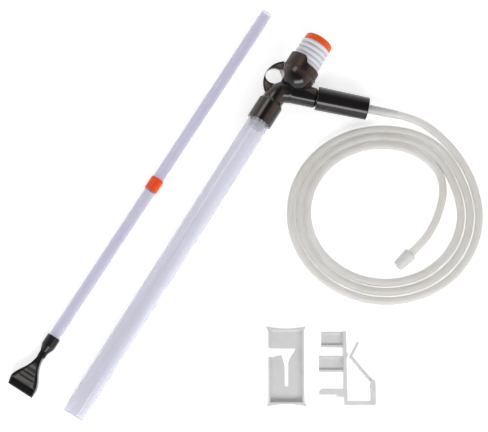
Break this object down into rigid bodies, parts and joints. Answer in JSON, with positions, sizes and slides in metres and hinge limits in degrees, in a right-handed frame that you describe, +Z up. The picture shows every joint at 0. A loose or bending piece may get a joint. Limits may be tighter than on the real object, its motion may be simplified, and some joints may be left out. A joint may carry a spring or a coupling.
{
  "type": "gravel vacuum siphon",
  "caption": "Hand-pumped aquarium gravel siphon with a clear tube, bellows head, coiled hose, extension wand with flat nozzle, and hose clips.",
  "frame": {"origin": "on the floor, under the middle of the box round everything but the hose", "axes": "+Y along the gravel tube to the pump head, +Z up from the floor, +X to the outlet's side"},
  "size_m": [0.4849, 0.6836, 0.0561],
  "materials": {
    "smoky_plastic": "glossy smoke-tinted styrene",
    "black_plastic": "glossy black",
    "nozzle_plastic": "satin black",
    "clear_tube": "clear extruded tube",
    "clear_wand": "clear extruded tube",
    "orange_coupler": "orange-red moulding",
    "orange_cap": "glossy orange",
    "bellows_rubber": "white soft moulding",
    "white_plastic": "white moulding",
    "strainer_white": "white slotted moulding",
    "valve_plastic": "white moulding",
    "valve_rubber": "black rubber sheet",
    "seal_rubber": "black O-ring",
    "connector_white": "white moulding",
    "hose_vinyl": "cloudy soft vinyl",
    "fitting_white": "white moulding",
    "clip_white": "white moulding"
  },
  "bodies": {
    "siphon_head": {"head_body": "smoky_plastic", "tube_seal": "seal_rubber", "sleeve_seal": "seal_rubber", "strainer": "strainer_white", "inlet_valve_seat": "valve_plastic", "outlet_valve_seat": "valve_plastic", "pump_shroud": "smoky_plastic", "bellows": "bellows_rubber", "bellows_clamp_ring": "white_plastic", "hose_connector": "connector_white", "hose_lead": "hose_vinyl", "hose_coil": "hose_vinyl", "hose_tail": "hose_vinyl", "hose_end_fitting": "fitting_white"},
    "gravel_tube": {"gravel_tube": "clear_tube"},
    "bellows_cap": {"bellows_cap": "orange_cap"},
    "inlet_flap": {"inlet_valve_flap": "valve_rubber"},
    "outlet_flap": {"outlet_valve_flap": "valve_rubber"},
    "outlet_sleeve": {"outlet_sleeve": "black_plastic"},
    "wand_lower": {"wand_tube_lower": "clear_wand", "wand_coupler": "orange_coupler"},
    "wand_upper": {"wand_tube_upper": "clear_wand"},
    "flat_nozzle": {"flat_nozzle": "nozzle_plastic"},
    "plate_clip": {"plate_clip": "clip_white"},
    "hose_clip": {"hose_clip": "clip_white"},
    "pinch_arm": {"pinch_arm": "clip_white"}
  },
  "joints": [
    {"name": "bellows_press", "type": "slide", "parent": "siphon_head", "child": "bellows_cap", "axis": [0, -0.9998, -0.0197], "range_m": [0, 0.02], "stiffness_N_per_m": 500, "deforming": ["bellows"]},
    {"name": "inlet_flap_swing", "type": "hinge", "parent": "siphon_head", "child": "inlet_flap", "pos_m": [-0.13646, 0.21611, 0.02865], "axis": [0.0934, -0.0196, 0.9954], "range_deg": [0, 50]},
    {"name": "outlet_flap_swing", "type": "hinge", "parent": "siphon_head", "child": "outlet_flap", "pos_m": [-0.06628, 0.26996, 0.02313], "axis": [0.0934, -0.0196, 0.9954], "range_deg": [0, 50]},
    {"name": "gravel_tube_pull", "type": "slide", "parent": "siphon_head", "child": "gravel_tube", "axis": [0, -0.9998, -0.0197], "range_m": [0, 0.035]},
    {"name": "outlet_sleeve_turn", "type": "hinge", "parent": "siphon_head", "child": "outlet_sleeve", "pos_m": [-0.03417, 0.27419, 0.0202], "axis": [0.9314, 0.3551, -0.0804], "continuous": true},
    {"name": "wand_lift", "type": "slide", "parent": "siphon_head", "child": "wand_lower", "axis": [0, 0, 1], "range_m": [0, 0.15]},
    {"name": "wand_upper_pull", "type": "slide", "parent": "wand_lower", "child": "wand_upper", "axis": [0.0052, 1, 0], "range_m": [0, 0.015]},
    {"name": "nozzle_pull", "type": "slide", "parent": "wand_lower", "child": "flat_nozzle", "axis": [-0.0052, -1, 0], "range_m": [0, 0.02]},
    {"name": "plate_clip_lift", "type": "slide", "parent": "siphon_head", "child": "plate_clip", "axis": [0, 0, 1], "range_m": [0, 0.15]},
    {"name": "hose_clip_lift", "type": "slide", "parent": "siphon_head", "child": "hose_clip", "axis": [0, 0, 1], "range_m": [0, 0.15]},
    {"name": "pinch_arm_swing", "type": "hinge", "parent": "hose_clip", "child": "pinch_arm", "pos_m": [0.21612, -0.06476, 0.01001], "axis": [0, 0, 1], "range_deg": [-35, 1.5]}
  ]
}
